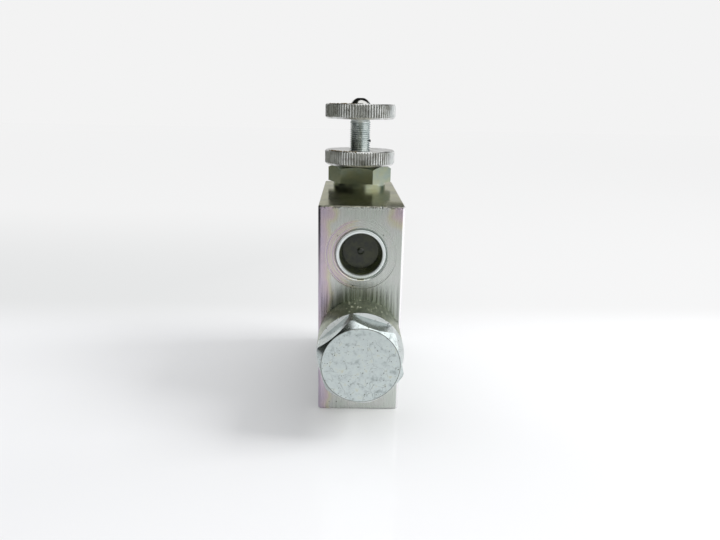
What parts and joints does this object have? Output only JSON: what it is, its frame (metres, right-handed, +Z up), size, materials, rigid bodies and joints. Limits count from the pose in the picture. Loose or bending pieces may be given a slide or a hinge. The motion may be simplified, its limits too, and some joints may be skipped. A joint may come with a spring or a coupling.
{
  "type": "flow regulator",
  "caption": "In-line pressure-compensated flow regulator: zinc-plated steel block with threaded ports, hexagon plug, bonnet, lock ring, threaded spindle and knurled handwheel.",
  "frame": {"origin": "point of the base under the adjuster's axis", "axes": "+Z up along the adjuster's axis, -Y towards the face with the front port and the plug, +X to the right seen from that face"},
  "size_m": [0.035, 0.1078, 0.1322],
  "materials": {
    "zinc_plated_steel_block": "zinc plated with an iridescent passivation, brushed",
    "zinc_plated_steel_plug": "zinc plated, milled and turned",
    "zinc_plated_steel_bonnet": "zinc plated, milled",
    "cap_plastic": "moulded, slightly translucent",
    "nitrile_rubber": "matt",
    "backup_plastic": "matt",
    "bright_steel": "ground",
    "spring_steel": "drawn wire",
    "ground_steel": "hardened and ground",
    "jet_brass": "turned",
    "turned_steel": "turned, thread rolled",
    "knurled_aluminium": "turned and straight-knurled, soiled",
    "polished_screw_steel": "bright nickel plated"
  },
  "bodies": {
    "valve_body": {"valve_body": "zinc_plated_steel_block", "front_port_cap": "cap_plastic", "compensator_plug": "zinc_plated_steel_plug", "plug_o_ring": "nitrile_rubber", "spring_shim": "bright_steel", "compensator_spring": "spring_steel", "pilot_jet": "jet_brass", "bonnet": "zinc_plated_steel_bonnet", "bonnet_o_ring": "nitrile_rubber", "throttle_sleeve": "ground_steel", "sleeve_o_ring": "nitrile_rubber", "sleeve_backup_ring": "backup_plastic", "guide_pin": "bright_steel"},
    "compensator": {"compensator_spool": "ground_steel"},
    "throttle": {"throttle_spool": "ground_steel", "spool_o_ring": "nitrile_rubber", "spool_backup_ring": "backup_plastic"},
    "adjuster": {"spindle": "turned_steel", "handwheel": "knurled_aluminium", "handwheel_screw": "polished_screw_steel"},
    "locking": {"lock_ring": "knurled_aluminium"}
  },
  "joints": [
    {"name": "compensator_slide", "type": "slide", "parent": "valve_body", "child": "compensator", "axis": [0, 1, 0], "range_m": [-0.009, 0], "stiffness_N_per_m": 2000, "deforming": ["compensator_spring"]},
    {"name": "throttle_slide", "type": "slide", "parent": "valve_body", "child": "throttle", "axis": [0, 0, 1], "range_m": [-0.008, 0]},
    {"name": "handwheel_turn", "type": "hinge", "parent": "throttle", "child": "adjuster", "pos_m": [0, 0, 0.11], "axis": [0, 0, 1], "range_deg": [-2880, 0]},
    {"name": "lock_ring_turn", "type": "hinge", "parent": "valve_body", "child": "locking", "pos_m": [0, 0, 0.104], "axis": [0, 0, 1], "range_deg": [0, 90]}
  ],
  "couplings": [
    {"joint": "handwheel_turn", "follows": "throttle_slide", "rad_per_m": 6283.2}
  ]
}
